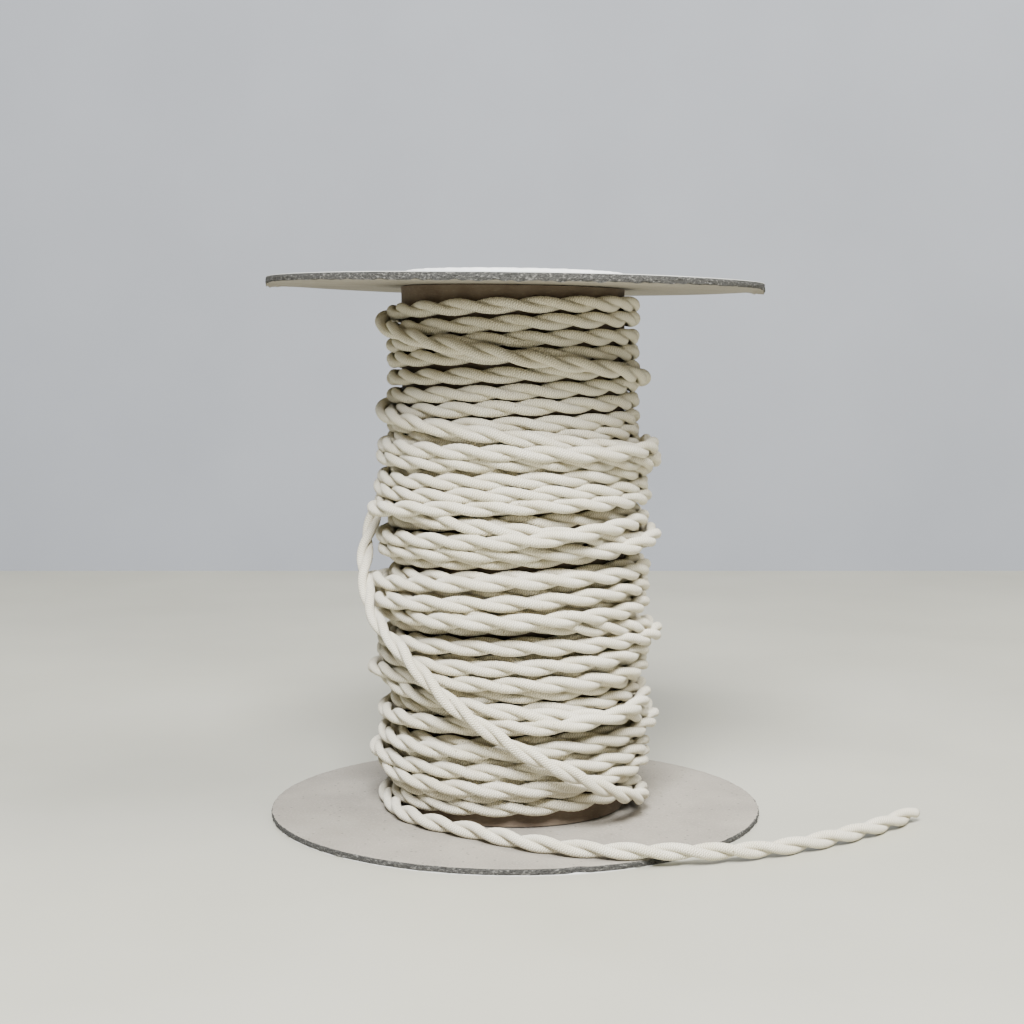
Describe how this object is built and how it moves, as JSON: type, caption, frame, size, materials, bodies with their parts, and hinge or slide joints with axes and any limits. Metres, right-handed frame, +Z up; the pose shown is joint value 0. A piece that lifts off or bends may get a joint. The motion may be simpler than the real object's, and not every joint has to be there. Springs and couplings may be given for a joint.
{
  "type": "wire spool",
  "caption": "Cardboard spool with round flanges and a hollow kraft core, wound with twisted cotton-braided lamp flex whose free end lies over the lower flange.",
  "frame": {"origin": "middle of the lower flange's underside, on the spool's axis, at the height of the surface it stands on", "axes": "+Z up along the spool's axis, from the lower flange to the upper one; -Y is the side that the loose turn and the free end cross"},
  "size_m": [0.2618, 0.2, 0.2205],
  "materials": {
    "greyboard": "matte",
    "white_facing": "matte",
    "kraft_tube": "matte",
    "white_sleeve": "matte",
    "cotton_braid": "matte"
  },
  "bodies": {
    "root": {"core_tube": "kraft_tube", "inner_sleeve": "white_sleeve", "lower_flange_facing": "white_facing", "lower_flange_board": "greyboard", "upper_flange_board": "greyboard", "upper_flange_facing": "white_facing", "cable_inner_layer": "cotton_braid", "cable_outer_layer": "cotton_braid", "cable_crossover": "cotton_braid", "cable_free_end": "cotton_braid"}
  },
  "joints": []
}
